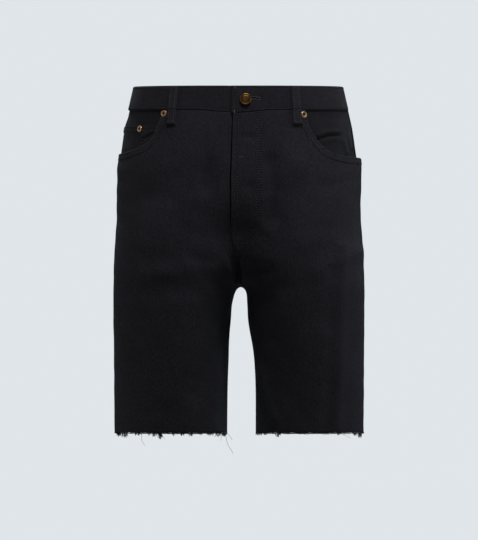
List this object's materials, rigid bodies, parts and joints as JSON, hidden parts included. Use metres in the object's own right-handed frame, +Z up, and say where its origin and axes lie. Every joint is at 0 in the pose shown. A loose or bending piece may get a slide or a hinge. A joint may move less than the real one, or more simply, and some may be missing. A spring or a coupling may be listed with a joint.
{
  "type": "denim shorts",
  "caption": "Black cut-off denim shorts with raw hems, filled out as if worn: waistband, pockets, belt loops, button and rivets round an empty hollow.",
  "frame": {"origin": "centre of the waistband at its mid height, where a wearer holds the shorts up", "axes": "+Z up along the garment; the front faces -Y; the wearer's left side is +X"},
  "size_m": [0.3639, 0.2738, 0.5335],
  "materials": {
    "denim": "black cotton twill, matt with a faint sheen",
    "threads": "loose cotton thread, black and pale grey",
    "rivets": "polished copper-coloured metal with a dark dimple",
    "button_metal": "antique brass"
  },
  "bodies": {
    "root": {"waistband": "denim", "front_right": "denim", "front_left": "denim", "back_right": "denim", "back_left": "denim", "yoke_right": "denim", "yoke_left": "denim", "pocket_facing_right": "denim", "pocket_facing_left": "denim", "coin_pocket": "denim", "back_pocket_right": "denim", "back_pocket_left": "denim", "belt_loop_front_right": "denim", "belt_loop_front_left": "denim", "belt_loop_side_right": "denim", "belt_loop_side_left": "denim", "belt_loop_back": "denim", "hem_fray_right": "threads", "hem_fray_left": "threads", "rivet_mouth_right": "rivets", "rivet_mouth_left": "rivets", "rivet_coin_inner": "rivets", "rivet_coin_outer": "rivets", "button": "button_metal"}
  },
  "joints": []
}
